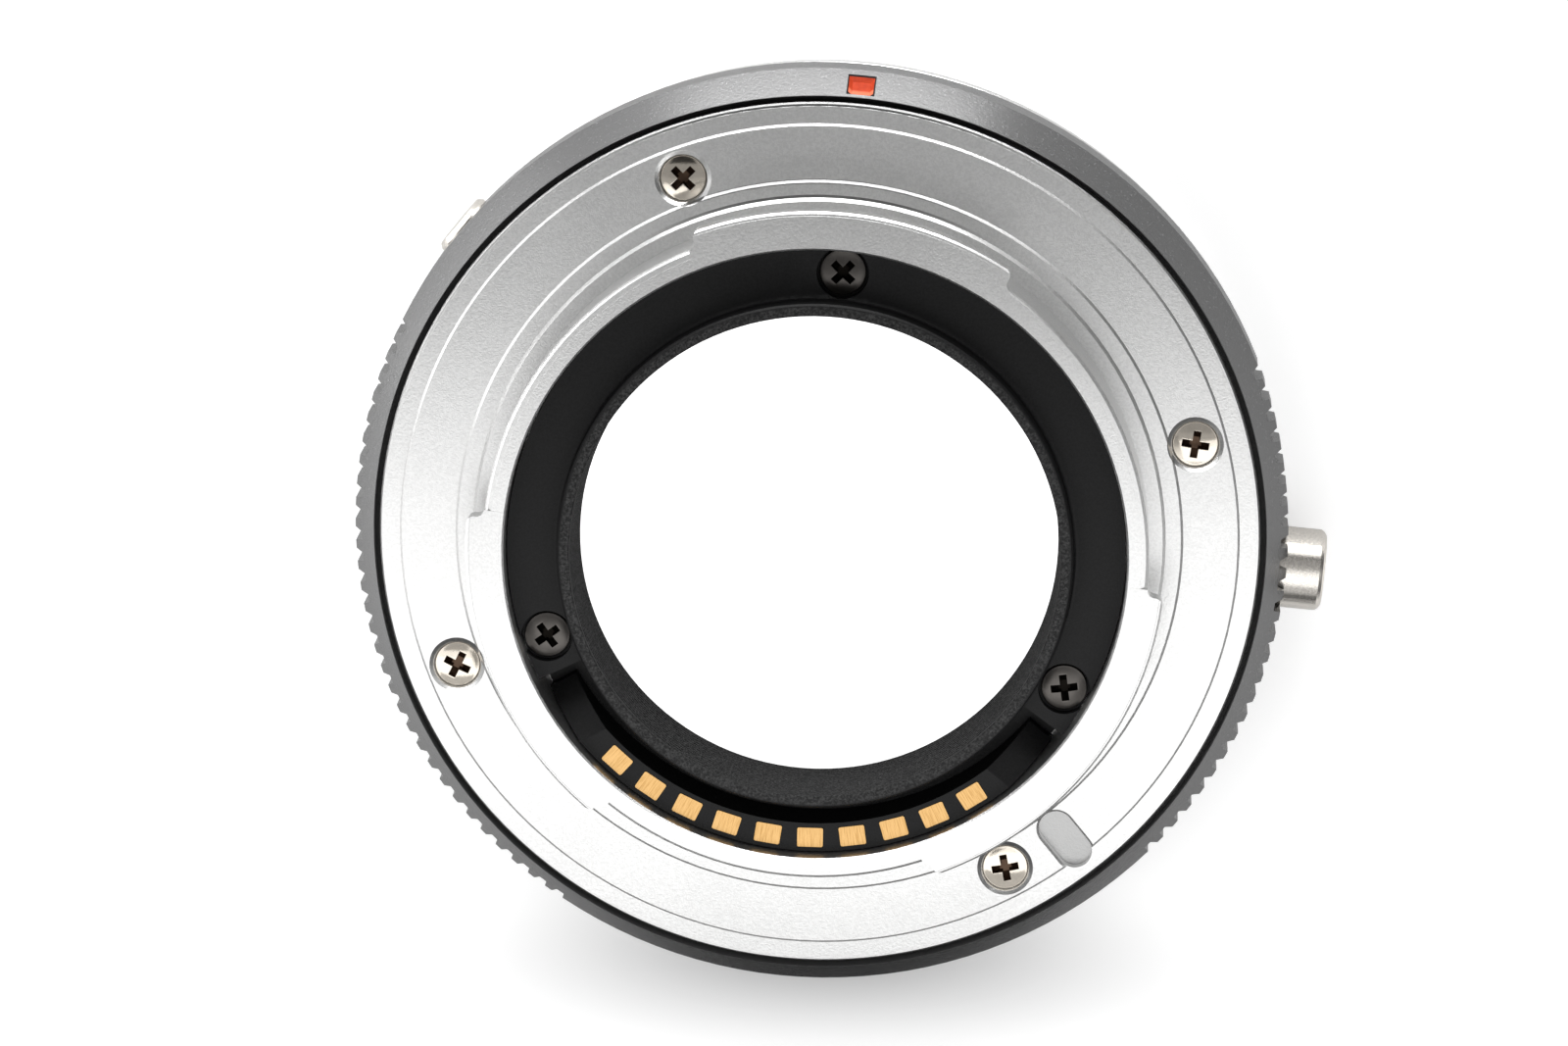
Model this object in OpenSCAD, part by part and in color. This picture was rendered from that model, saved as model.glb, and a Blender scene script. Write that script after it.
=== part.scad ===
// Lens mount adapter: a rangefinder bayonet lens on a short-register mirrorless camera.
// Z = 0 is the seat of the lens, +Z points to the camera, +Y is the index mark's side.

/* [Seats] */
// Distance from the lens seat to the camera seat
adapter_depth = 10.1; // [10.1:0.1:14]

/* [Body ring] */
// Width of the dark groove between flange and rim
groove_w = 0.4; // [0.3:0.05:0.8]
// How far the rim's front edge lies below the camera seat
rim_drop = 0.33; // [0.2:0.01:0.6]
// Radial width of the rim's front cone
cone_w = 1.48; // [1.3:0.02:2]
// Depth of the rim's front cone along the axis
cone_h = 2.27; // [2:0.05:2.5]
// Height of the straight knurled band
band_h = 2.5; // [2:0.1:2.7]
// How far the waist lies inside the band
waist_inset = 1.28; // [1:0.05:1.5]
// Height of the chamfer between waist and band
waist_chamfer_h = 0.8; // [0.5:0.1:1]
// How far the shelf under the camera bayonet stops short of the web's inner edge
shelf_step = 0.6; // [0.4:0.1:1]
// Thickness of that shelf
shelf_t = 1.4; // [1.2:0.1:1.6]
// Wall between the waist and the space behind the lens claws
cavity_wall = 7.2; // [7.1:0.05:7.3]

/* [Knurl] */
// Depth of a knurl groove
knurl_depth = 0.5; // [0.3:0.05:0.6]
// Angle from one knurl groove to the next
knurl_pitch = 2.7; // [2.5:0.1:4]
// Width of a knurl groove at the rim
knurl_w = 0.9; // [0.7:0.05:1]
// First groove of the left knurl
knurl_left_from = 154; // [150:1:158]
// Last groove of the left knurl
knurl_left_to = 236; // [228:1:240]
// First groove of the right knurl
knurl_right_from = -44; // [-48:1:-40]
// Last groove of the right knurl
knurl_right_to = 22; // [16:1:26]

/* [Index mark] */
// Angle of the index mark round the rim
mark_angle = 84.8; // [70:0.2:90]
// Length of the mark down the cone
mark_l = 1.9; // [1.2:0.1:2]
// Width of the mark round the rim
mark_w = 1.85; // [1.2:0.05:2.4]
// Depth of the mark's pocket
mark_depth = 0.32; // [0.2:0.02:0.4]
// How far the paint's edge lies below the cone
paint_sink = 0.05; // [0.02:0.01:0.1]

/* [Camera bayonet] */
// Thickness of the flange at the seat
flange_t = 1.7; // [1.5:0.1:1.9]
// Width of the bevel on the flange's edge
flange_bevel = 0.25; // [0.1:0.05:0.4]
// Width of the camera seat
seat_w = 3.55; // [3.45:0.05:3.8]
// Width of the lower step outside the seat
outer_step_w = 1.5; // [1.2:0.1:2]
// How far the flange steps down outside the seat
outer_step = 0.15; // [0.1:0.05:0.3]
// Width of the higher step inside the seat
inner_step_w = 1.15; // [0.9:0.05:1.4]
// How far the flange rises inside the seat
inner_step = 0.15; // [0.1:0.05:0.3]
// Width of the raised boss round the tube
pilot_w = 1.1; // [0.9:0.05:1.3]
// Height of that boss above the seat
pilot_h = 0.42; // [0.35:0.01:0.6]
// Wall of the bayonet tube
tube_wall = 1.4; // [1.2:0.05:1.4]
// How far the tube stands above the seat
tube_len = 5.4; // [5:0.1:6]
// Bevel on the tube's outer front edge
tube_bevel = 0.5; // [0.2:0.05:0.6]
// Bevel on the tube's inner front edge
tube_inner_bevel = 0.12; // [0.05:0.01:0.2]
// Thickness of the inner web that carries the baffle
web_t = 1.2; // [1:0.1:1.4]
// How far that web reaches in under the baffle's tunnel
web_step = 0.2; // [0.1:0.05:0.5]

/* [Bayonet lugs] */
// How far a lug reaches out of the tube
lug_reach = 1.1; // [0.8:0.05:1.2]
// Thickness of a lug
lug_t = 1.4; // [1:0.1:1.8]
// Bevel on a lug's outer front edge
lug_bevel = 0.27; // [0.1:0.01:0.35]
// How far a lug's front stands proud of the tube's
lug_proud = 0.02; // [0.01:0.01:0.1]
// Radius of the rounded corners at a lug's ends
lug_corner = 0.55; // [0.3:0.05:0.7]
// Radius of the hollow where a lug's end meets the tube
lug_root = 0.5; // [0.2:0.05:0.6]

/* [Lock slot] */
// Angle of the slot for the camera's lock pin
slot_angle = -51.1; // [-54:0.1:-48]
// How far the slot's middle lies inside the seat's outer edge
slot_inset = 1.4; // [1.2:0.05:1.6]
// Length of the slot along the radius
slot_l = 4.3; // [3.8:0.1:4.4]
// Width of the slot
slot_w = 2.3; // [2:0.05:2.6]
// Depth of the slot below the seat
slot_depth = 1; // [0.6:0.1:1.2]
// Bevel round the slot's mouth
slot_bevel = 0.15; // [0.1:0.01:0.2]

/* [Flange screws] */
// How far the flange screws lie inside the seat's outer edge
flange_screw_inset = 1.97; // [1.8:0.01:2.1]
// Head diameter of a flange screw
flange_head_d = 2.95; // [2.6:0.05:3.1]
// Thread diameter of the flange and lens ring screws
screw_d = 1.7; // [1.4:0.1:1.8]
// How far a flange screw reaches into the body
flange_screw_bite = 3.2; // [2.4:0.1:3.4]
// How far the edge of the head lies below the seat
head_sink = 0.3; // [0.25:0.01:0.4]

/* [Baffle] */
// Inner radius of the light tunnel at its front
tunnel_front_r = 16; // [14:0.1:18]
// How much smaller that radius is at the tunnel's rear
tunnel_taper = 0.25; // [0.1:0.01:0.4]
// Wall of the light tunnel at its front
lip_w = 0.8; // [0.6:0.05:0.85]
// How far the lip stands proud of the bayonet tube
lip_proud = 0.1; // [0.05:0.05:0.3]
// Depth of a light-trap rib on the tunnel's wall
rib_depth = 0.12; // [0.05:0.01:0.15]
// Distance from one rib to the next
rib_pitch = 0.42; // [0.35:0.01:0.8]
// Width of the baffle's face outside the lip
baffle_face_w = 3.4; // [3.35:0.05:3.6]
// Height of the baffle's face above the camera seat
baffle_face_h = 3.7; // [3.5:0.05:4]
// Thickness of that face
baffle_face_t = 1.2; // [1.1:0.1:1.6]
// Diameter of a screw boss under the face
boss_d = 3.2; // [2.6:0.1:3.3]
// How far the baffle screws lie inside the baffle's outer edge
baffle_screw_inset = 1.61; // [1.58:0.01:1.7]
// Head diameter of a baffle screw
baffle_head_d = 3; // [2.6:0.05:3.1]
// Thread diameter of a baffle screw
baffle_screw_d = 1.4; // [1.2:0.1:1.5]
// Depth of the pocket round a baffle screw's head
head_pocket_depth = 0.8; // [0.6:0.05:0.85]

/* [Contact block] */
// First edge of the contact window in the baffle
window_from = -154.2; // [-154.6:0.1:-153.8]
// Last edge of the contact window in the baffle
window_to = -36.8; // [-37.2:0.1:-36.4]
// Height of the contact face above the camera seat
block_face_h = 3.9; // [3.7:0.05:4.2]
// Width of the slot between the baffle's lip and the contact block
block_slot_w = 1.5; // [1.3:0.05:1.55]
// Thickness of the block's foot on the web
foot_t = 0.8; // [0.5:0.1:1]
// Gap between each end of the contact face's ramps and the window's edge, as an angle
ramp_gap = 3.4; // [3:0.1:4]
// How far each end of the block drops below the contact face
ramp_drop = 2.6; // [2:0.1:2.8]
// Angle that a ramp at the block's end spans
ramp_span = 11.8; // [10:0.1:12]

/* [Contacts] */
// Angle of the first contact
contact_from = -132.7; // [-133.2:0.1:-132.2]
// Angle from one contact to the next
contact_pitch = 8.32; // [8.2:0.02:8.44]
// How far the contacts' middle lies inside the baffle's outer edge
contact_inset = 0.95; // [0.9:0.01:1.05]
// Length of a contact along the radius
contact_l = 1.3; // [1:0.05:1.35]
// Width of a contact round the block
contact_w = 1.7; // [1.3:0.05:1.9]
// Thickness of a contact's pad
contact_t = 0.45; // [0.3:0.05:0.6]
// Diameter of a contact's tail
tail_d = 0.6; // [0.5:0.05:0.8]
// Width of the room that the tails share under the contact block
tail_room_w = 1.3; // [1.1:0.05:1.4]
// Thickness of the contact block's roof over that room
block_roof_t = 1.6; // [1.2:0.1:2]

/* [Circuit] */
// Thickness of the flexible circuit
flex_t = 0.2; // [0.1:0.05:0.25]
// Width of the circuit's strip to the function switch
strip_w = 1.2; // [0.8:0.1:1.3]

/* [Lens ring] */
// Thickness of the lens mount ring
lens_ring_t = 1.4; // [1.3:0.05:1.5]
// How far the lens ring's edge lies inside the knurled band
lens_ring_inset = 0.58; // [0.4:0.02:0.8]
// How far the lens ring's throat lies inside the space behind it
throat_step = 0.35; // [0.2:0.05:0.5]
// How far a claw reaches into the throat
claw_reach = 1.55; // [1.2:0.05:1.8]
// Thickness of a claw
claw_t = 1.1; // [0.9:0.05:1.2]
// Angle that a claw spans
claw_span = 46; // [40:1:50]
// How far the lens ring screws lie inside the waist
lens_screw_inset = 3.4; // [3:0.05:3.6]
// Head diameter of a lens ring screw
lens_head_d = 3.2; // [2.8:0.1:3.4]
// How far a lens ring screw reaches into the body
lens_screw_bite = 2.6; // [2:0.1:2.8]
// Thickness of a leaf spring behind a claw
leaf_t = 0.15; // [0.1:0.01:0.2]
// Height of the bow of a leaf spring
leaf_bow = 0.4; // [0.2:0.05:0.5]

/* [Lens release] */
// Angle of the release button round the body
release_angle = -5.3; // [-10:0.1:0]
// Diameter of the release button
release_d = 5.4; // [5:0.1:5.4]
// How far the release button stands out of the knurled band
release_proud = 2.57; // [2:0.05:3.5]
// Inward travel of the release button
release_travel = 1.1; // [0.8:0.05:1.1]
// Lift of the lock pin for each millimetre of button travel
wedge_ratio = 0.8; // [0.7:0.02:0.84]
// How far the lock pin lies inside the waist
pin_inset = 5.4; // [5.3:0.02:5.5]
// Diameter of the lock pin
pin_d = 1.6; // [1.4:0.05:1.65]
// How far the lock pin stands out of the lens seat
pin_proud = 0.8; // [0.5:0.05:0.85]
// Diameter of the release button's stem
stem_d = 1.8; // [1.5:0.1:2]
// Thickness of the body wall that the stem passes through
stem_wall = 0.55; // [0.45:0.05:0.6]

/* [Function button] */
// Angle of the function button round the body
function_angle = 140.3; // [138:0.1:143]
// Diameter of the function button
function_d = 4.28; // [4:0.02:4.4]
// How far the function button stands out of the knurled band
function_proud = 0.37; // [0.2:0.01:0.8]
// Inward travel of the function button
function_travel = 0.35; // [0.2:0.05:0.4]
// Wall between the switch housing and the space behind the lens claws
switch_wall = 2; // [1.8:0.1:2.1]
// Radial length of the switch housing
switch_l = 2.5; // [2.2:0.1:2.6]
// Width of the switch housing
switch_w = 3.6; // [3:0.1:4]
// Height of the switch housing
switch_h = 3.6; // [3:0.1:3.8]

/* [Fits] */
// Radial running clearance of a moving pin or button
run_gap = 0.05; // [0.03:0.01:0.08]
// Clearance of a piece that is held in a pocket
fit_gap = 0.1; // [0.05:0.01:0.12]
// Gap between a moving piece and its stop
stop_gap = 0.05; // [0.02:0.01:0.1]

/* [Hidden] */
$fn = 96;
eps = 0.01;
far = 100;

// Levels along the axis
seat_z = adapter_depth;
recess_z = seat_z - flange_t;
web_top = recess_z + web_t;
tube_front = seat_z + tube_len;
lip_front = tube_front + lip_proud;
tunnel_rear = web_top + stop_gap;
face_z = seat_z + baffle_face_h;
block_z = seat_z + block_face_h;
rim_front = seat_z - rim_drop;
cone_base = rim_front - cone_h;
band_base = cone_base - band_h;
shelf_base = recess_z - shelf_t;
flex_z = recess_z - flex_t - stop_gap;

// Radii from the axis, from the tunnel outwards
tunnel_rear_r = tunnel_front_r - tunnel_taper;
lip_r = tunnel_front_r + lip_w;
web_r = lip_r - web_step;
shelf_r = web_r + shelf_step;
block_inner_r = lip_r + block_slot_w;
baffle_r = lip_r + baffle_face_w;
contact_r = baffle_r - contact_inset;
baffle_screw_r = baffle_r - baffle_screw_inset;
bore_r = baffle_r + fit_gap;
tube_r = bore_r + tube_wall;
lug_r = tube_r + lug_reach;
pilot_r = tube_r + pilot_w;
seat_in = pilot_r + inner_step_w;
seat_out = seat_in + seat_w;
flange_screw_r = seat_out - flange_screw_inset;
slot_mid_r = seat_out - slot_inset;
flange_r = seat_out + outer_step_w;
recess_r = flange_r + groove_w;
rim_r = recess_r + cone_w;
waist_r = rim_r - waist_inset;
lens_ring_r = rim_r - lens_ring_inset;
lens_screw_r = waist_r - lens_screw_inset;
pin_r = waist_r - pin_inset;
cavity_r = waist_r - cavity_wall;
throat_r = cavity_r - throat_step;
claw_r = throat_r - claw_reach;

// Angles of what stands round the axis
lug_spans = [[55.9, 110.5], [173.5, 229.6], [290.5, 353.7]];
flange_screws_at = [[110.2, 45], [15, -9], [200.2, -26], [-60.9, 11]];
baffle_screws_at = [[84.6, 45], [198.4, 36], [-29, 7]];
lens_screws_at = [45, 100, 172, 242, 310];
claw_count = 4;
claw_from = 40;
claws_at = [for (i = [0:claw_count - 1]) claw_from + 360 / claw_count * i];
contact_count = 10;
tail_room_turn = 4;

// Cross recess of a screw head
cross_l_share = 0.58;
cross_w_share = 0.16;
cross_depth = 0.55;
dome_h = 0.27;
countersink_bevel = 0.28;

// Lens release, in its own frame with X along the button's axis
release_r = release_d / 2;
release_bore_r = release_r + run_gap;
button_wall = 0.25;
release_z = lens_ring_t + button_wall + release_bore_r;
boss_wall = 0.65;
boss_r = lens_ring_r + 0.1;
pocket_inner = pin_r - pin_d / 2 - 0.6;
collar_r = pin_d / 2 + 0.35;
bar_r = 0.45;
bar_z = lens_ring_t + fit_gap + 1.05 + bar_r;
fork_inner = pin_r + collar_r + release_travel + fit_gap;
fork_back_t = 0.6;
stem_wall_in = fork_inner + fork_back_t + stop_gap;
stem_wall_out = stem_wall_in + stem_wall;
spring_room = 2.1;
head_inner = stem_wall_out + spring_room;
release_tip = rim_r + release_proud;
pocket_half_w = 1.75;
pocket_top = shelf_base - 0.8;
prong_in = pin_d / 2 + fit_gap;
prong_out = pocket_half_w - 0.15;
fork_base_z = lens_ring_t + fit_gap;
wedge_angle = atan(wedge_ratio);
wedge_gap = 0.04;
ramp_touch_x = pin_r + bar_r * sin(wedge_angle);
ramp_touch_z = bar_z - bar_r * cos(wedge_angle) - wedge_gap;
ramp_start = pin_r - 0.15;
ramp_end = ramp_touch_x + release_travel + 0.15;
collar_t = 0.3;
collar_z = bar_z + bar_r;
release_lift = release_travel * wedge_ratio;
pin_top = pocket_top + 0.7;
guide_top = pin_top + release_lift + 0.15;

// Function button, in its own frame with X along the button's axis
function_r = function_d / 2;
function_collar_r = function_r + 0.46;
function_bore_r = function_r + run_gap;
function_z = lens_ring_t + 0.4 + function_collar_r;
function_tip = rim_r + function_proud;
switch_inner = cavity_r + switch_wall;
switch_outer = switch_inner + switch_l;
plunger_r = 0.8;
plunger_depth = 0.9;
button_gap = function_travel + 0.15;
function_back = switch_outer + button_gap + 0.8;
function_collar_t = 0.4;
shoulder_x = function_back + function_collar_t + stop_gap;
function_pocket_top = function_z + function_collar_r + fit_gap;
leg_l = 0.3;
leg_w = 0.5;
leg_y = 1.1;

// Circuit
flex_inner = shelf_r + 0.7;
flex_outer = bore_r + 0.1;
strip_inner = cavity_r + 0.4;
link_angle = 4;

// Turns children to an angle round the axis and moves them out along the radius
module at_polar(r, a, z = 0) {
    rotate([0, 0, a]) translate([r, 0, z]) children();
}

// Flat ring segment between two radii, two levels and two angles
module sector(inner, outer, low, high, from, to) {
    rotate([0, 0, from])
        rotate_extrude(angle = to - from)
            translate([inner, low]) square([outer - inner, high - low]);
}

// Cylinder along the X axis
module rod_x(r, from, to, z) {
    translate([from, 0, z]) rotate([0, 90, 0]) cylinder(r = r, h = to - from);
}

// Block given by its two opposite corners
module block(low, high) {
    translate(low) cube(high - low);
}

// Cross recess, deepest in the middle
module cross_recess(head_d) {
    arm = head_d * cross_l_share;
    width = head_d * cross_w_share;
    intersection() {
        union() {
            cube([arm, width, 2 * cross_depth], center = true);
            cube([width, arm, 2 * cross_depth], center = true);
        }
        translate([0, 0, -cross_depth])
            cylinder(r1 = arm * 0.34, r2 = arm * 0.76, h = 3 * cross_depth);
    }
}

// Shallow dome whose base is at Z = 0
module dome(d, h) {
    ball_r = (d * d / 4 + h * h) / (2 * h);
    intersection() {
        translate([0, 0, h - ball_r]) sphere(r = ball_r);
        cylinder(d = d, h = 2 * h);
    }
}

// Countersunk screw with its head's edge at Z = 0 and its shank along -Z
module countersunk_screw(head_d, shank_d, length, crown, turn) {
    head_h = (head_d - shank_d) / 2;
    rotate([0, 0, turn]) difference() {
        union() {
            if (crown > 0) dome(head_d, crown);
            translate([0, 0, -head_h]) cylinder(d1 = shank_d, d2 = head_d, h = head_h);
            translate([0, 0, -length]) cylinder(d = shank_d, h = length - head_h + eps);
        }
        translate([0, 0, crown]) cross_recess(head_d);
    }
}

// Hole for a countersunk screw, with its head's edge at Z = 0
module countersunk_hole(head_d, shank_d, length) {
    head_h = (head_d - shank_d) / 2;
    translate([0, 0, -head_h]) cylinder(d1 = shank_d, d2 = head_d, h = head_h);
    translate([0, 0, -eps / 2]) cylinder(d = head_d, h = 2);
    translate([0, 0, -length]) cylinder(d = shank_d + 2 * run_gap, h = length);
}

// Closed coil along +Z that starts at Z = 0
function coil_point(mean_r, wire_r, turns, rise, steps, sides, i, j) =
    let (
        turn = 360 * turns * i / steps,
        side = 360 * j / sides,
        r = mean_r + wire_r * cos(side)
    )
    [r * cos(turn), r * sin(turn), wire_r + rise * i / steps + wire_r * sin(side)];

module coil(mean_r, wire_d, length, turns) {
    sides = 8;
    steps = ceil(turns * 14);
    rise = length - wire_d;
    rings = [for (i = [0:steps]) for (j = [0:sides - 1])
        coil_point(mean_r, wire_d / 2, turns, rise, steps, sides, i, j)];
    walls = [for (i = [0:steps - 1]) for (j = [0:sides - 1])
        let (next = (j + 1) % sides)
        [i * sides + j, (i + 1) * sides + j, (i + 1) * sides + next, i * sides + next]];
    first_cap = [[for (j = [0:sides - 1]) j]];
    last_cap = [[for (j = [sides - 1:-1:0]) steps * sides + j]];
    polyhedron(points = rings, faces = concat(walls, first_cap, last_cap), convexity = 6);
}

// Body ring
module body_section() {
    polygon([
        [shelf_r, shelf_base], [cavity_r, shelf_base], [cavity_r, lens_ring_t],
        [waist_r, lens_ring_t], [waist_r, band_base - waist_chamfer_h], [rim_r, band_base],
        [rim_r, cone_base], [recess_r, rim_front], [recess_r, recess_z], [shelf_r, recess_z]
    ]);
}

module knurl_grooves(from, to) {
    low = band_base - waist_chamfer_h - 1;
    floor_r = rim_r - knurl_depth;
    for (a = [from:knurl_pitch:to])
        rotate([0, 0, a]) translate([0, 0, low])
            linear_extrude(height = seat_z - low)
                polygon([
                    [floor_r, -knurl_w * 0.3], [rim_r + 1, -knurl_w * 0.9],
                    [rim_r + 1, knurl_w * 0.9], [floor_r, knurl_w * 0.3]
                ]);
}

// Pocket of the index mark, sunk square to the cone
module mark_frame() {
    mark_share = 0.455;
    cone_tilt = atan2(cone_h, cone_w);
    at_polar(recess_r + cone_w * mark_share, mark_angle, rim_front - cone_h * mark_share)
        rotate([0, cone_tilt, 0])
            children();
}

module radial_boss(r, z, reach) {
    intersection() {
        rod_x(r, waist_r - 1.5, reach, z);
        block([0, -far, lens_ring_t], [far, far, cone_base]);
    }
}

module release_room() {
    rod_x(release_bore_r, stem_wall_out, far, release_z);
    rod_x(stem_d / 2 + run_gap, stem_wall_in - 1, stem_wall_out + 1, release_z);
    block([pocket_inner, -pocket_half_w, 0], [stem_wall_in, pocket_half_w, pocket_top]);
    translate([pin_r, 0, pocket_top - 1]) cylinder(r = pin_d / 2 + run_gap, h = guide_top - pocket_top + 1);
}

module function_room() {
    half_w = function_collar_r + fit_gap;
    rod_x(function_bore_r, shoulder_x - 1, far, function_z);
    block([switch_inner, -half_w, 0], [shoulder_x, half_w, function_pocket_top]);
    for (side = [-1, 1])
        translate([switch_outer - 1.1, side * leg_y, seat_z / 2])
            cube([leg_l + 2 * fit_gap, leg_w + 2 * fit_gap, seat_z], center = true);
}

// Outline of the circuit: an arc under the contacts, a link and a strip to the function switch
function arc(r, from, to) =
    let (steps = ceil(abs(to - from) / 4))
    [for (i = [0:steps]) let (a = from + (to - from) * i / steps) [r * cos(a), r * sin(a)]];

function turned(p, a) = [p[0] * cos(a) - p[1] * sin(a), p[0] * sin(a) + p[1] * cos(a)];

module circuit_shape(low, high, grow) {
    spread = grow / strip_inner * 180 / PI;
    link_from = window_from - spread;
    link_to = window_from + link_angle + spread;
    arc_to = window_to - link_angle + spread;
    switch_at = function_angle - 360;
    strip_outer = strip_inner + strip_w + grow;
    tab_half = leg_y + 0.5 + grow;
    tab_turn = asin(tab_half / strip_outer);
    tab_out = switch_outer - 0.7 + grow;
    translate([0, 0, low]) linear_extrude(height = high - low)
        polygon(concat(
            arc(flex_inner - grow, arc_to, link_from),
            arc(strip_inner - grow, link_from, switch_at - link_angle - spread),
            arc(strip_outer, switch_at - link_angle - spread, switch_at - tab_turn),
            [turned([tab_out, -tab_half], switch_at), turned([tab_out, tab_half], switch_at)],
            arc(strip_outer, switch_at + tab_turn, link_to),
            arc(flex_outer + grow, link_to, arc_to)
        ));
}

module body_ring() {
    color("#232326") difference() {
        union() {
            rotate_extrude() body_section();
            rotate([0, 0, release_angle]) radial_boss(release_bore_r + boss_wall, release_z, boss_r);
            rotate([0, 0, function_angle]) radial_boss(function_bore_r + boss_wall, function_z, boss_r);
        }
        knurl_grooves(knurl_left_from, knurl_left_to);
        knurl_grooves(knurl_right_from, knurl_right_to);
        mark_frame() cube([mark_l, mark_w, 2 * mark_depth], center = true);
        rotate([0, 0, release_angle]) release_room();
        rotate([0, 0, function_angle]) function_room();
        for (s = flange_screws_at)
            at_polar(flange_screw_r, s[0], recess_z - flange_screw_bite - 0.2)
                cylinder(d = screw_d + 2 * run_gap, h = flange_screw_bite + 1);
        for (a = lens_screws_at)
            at_polar(lens_screw_r, a)
                cylinder(d = screw_d + 2 * run_gap, h = lens_ring_t + lens_screw_bite + 0.2);
        circuit_shape(flex_z, recess_z + 1, fit_gap);
    }
}

module index_mark() {
    dish = 0.34;
    inner_l = mark_l - 2 * fit_gap / 5;
    inner_w = mark_w - 2 * fit_gap / 5;
    color("#d8491f") mark_frame() difference() {
        translate([0, 0, -(mark_depth + paint_sink) / 2])
            cube([inner_l, inner_w, mark_depth - paint_sink], center = true);
        hull() {
            translate([0, 0, -paint_sink + eps])
                cube([inner_l - 0.1, inner_w - 0.1, 2 * eps], center = true);
            translate([-0.1, 0, -mark_depth * 0.72])
                cube([inner_l - 2 * dish, inner_w - 2 * dish, eps], center = true);
        }
    }
}

// Camera bayonet
module bayonet_section() {
    tube_top = tube_front - lug_proud;
    polygon([
        [web_r, recess_z], [flange_r, recess_z],
        [flange_r, seat_z - outer_step - flange_bevel],
        [flange_r - flange_bevel, seat_z - outer_step],
        [seat_out + outer_step, seat_z - outer_step], [seat_out, seat_z], [seat_in, seat_z],
        [seat_in - inner_step * 1.1, seat_z + inner_step],
        [pilot_r, seat_z + inner_step], [pilot_r - 0.2, seat_z + pilot_h],
        [tube_r, seat_z + pilot_h], [tube_r, tube_top - tube_bevel],
        [tube_r - tube_bevel, tube_top], [bore_r + tube_inner_bevel, tube_top],
        [bore_r, tube_top - tube_inner_bevel], [bore_r, web_top], [web_r, web_top]
    ]);
}

// Half outline of a lug's end: a hollow round into the tube, then a full round to the rim
function lug_end() = concat(
    [[bore_r, -lug_root]],
    [for (t = [90:-15:0]) [tube_r + lug_root - lug_root * sin(t), -lug_root + lug_root * cos(t)]],
    [for (t = [0:15:90]) [lug_r - lug_corner + lug_corner * sin(t), lug_corner - lug_corner * cos(t)]],
    [[lug_r + 1, lug_corner]]
);

// One lug: a bevelled ring cut to length by a wedge with round ends
module lug(span) {
    first = [for (p = lug_end()) turned(p, span[0])];
    last = [for (p = lug_end()) turned([p[0], -p[1]], span[1])];
    outer = arc(lug_r + 1.5, span[0] + 4, span[1] - 4);
    count = len(last);
    base_z = tube_front - lug_t;
    inner = bore_r + 0.3;
    intersection() {
        rotate_extrude()
            polygon([
                [inner, base_z], [lug_r, base_z], [lug_r, tube_front - lug_bevel],
                [lug_r - lug_bevel, tube_front], [inner, tube_front]
            ]);
        translate([0, 0, base_z - 1]) linear_extrude(height = lug_t + 2)
            polygon(concat(first, outer, [for (i = [count - 1:-1:0]) last[i]], [[0, 0]]));
    }
}

// Arc-shaped room for the contacts' tails
module tail_room(low, high) {
    sector(contact_r - tail_room_w / 2, contact_r + tail_room_w / 2, low, high,
        contact_from - tail_room_turn, contact_angle(contact_count - 1) + tail_room_turn);
}

module slot_shape(grow, low, high) {
    half = slot_l / 2 - slot_w / 2;
    translate([slot_mid_r, 0, low]) {
        for (side = [-1, 1])
            translate([side * half, 0, 0]) cylinder(d1 = slot_w, d2 = slot_w + 2 * grow, h = high - low);
        if (grow == 0)
            translate([-half, -slot_w / 2, 0]) cube([2 * half, slot_w, high - low]);
        else
            rotate([90, 0, 90]) translate([0, 0, -half]) linear_extrude(height = 2 * half)
                polygon([
                    [-slot_w / 2, 0], [slot_w / 2, 0],
                    [slot_w / 2 + grow, high - low], [-slot_w / 2 - grow, high - low]
                ]);
    }
}

module camera_bayonet() {
    head_z = seat_z - head_sink;
    bevel_z = seat_z - countersink_bevel * 0.75;
    color("#c9cbce") difference() {
        union() {
            rotate_extrude() bayonet_section();
            for (span = lug_spans) lug(span);
        }
        for (s = flange_screws_at)
            at_polar(flange_screw_r, s[0], head_z) {
                countersunk_hole(flange_head_d + 2 * run_gap, screw_d, flange_t);
                translate([0, 0, bevel_z - head_z])
                    cylinder(d1 = flange_head_d + 2 * run_gap, h = 1,
                        d2 = flange_head_d + 2 * run_gap + 2 * countersink_bevel / 0.75);
            }
        rotate([0, 0, slot_angle]) {
            slot_shape(0, seat_z - slot_depth, seat_z + 1);
            slot_shape(4 * slot_bevel, seat_z - slot_bevel, seat_z + 3 * slot_bevel);
        }
        for (s = baffle_screws_at)
            at_polar(baffle_screw_r, s[0], recess_z - 1)
                cylinder(d = baffle_screw_d + 2 * run_gap, h = web_t + 2);
        tail_room(recess_z - 1, web_top + 1);
    }
}

module flange_screws() {
    color("#cfc6b8")
        for (s = flange_screws_at)
            at_polar(flange_screw_r, s[0], seat_z - head_sink)
                rotate([0, 0, -s[0]])
                    countersunk_screw(flange_head_d, screw_d,
                        flange_t - head_sink + flange_screw_bite, dome_h, s[1]);
}

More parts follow.
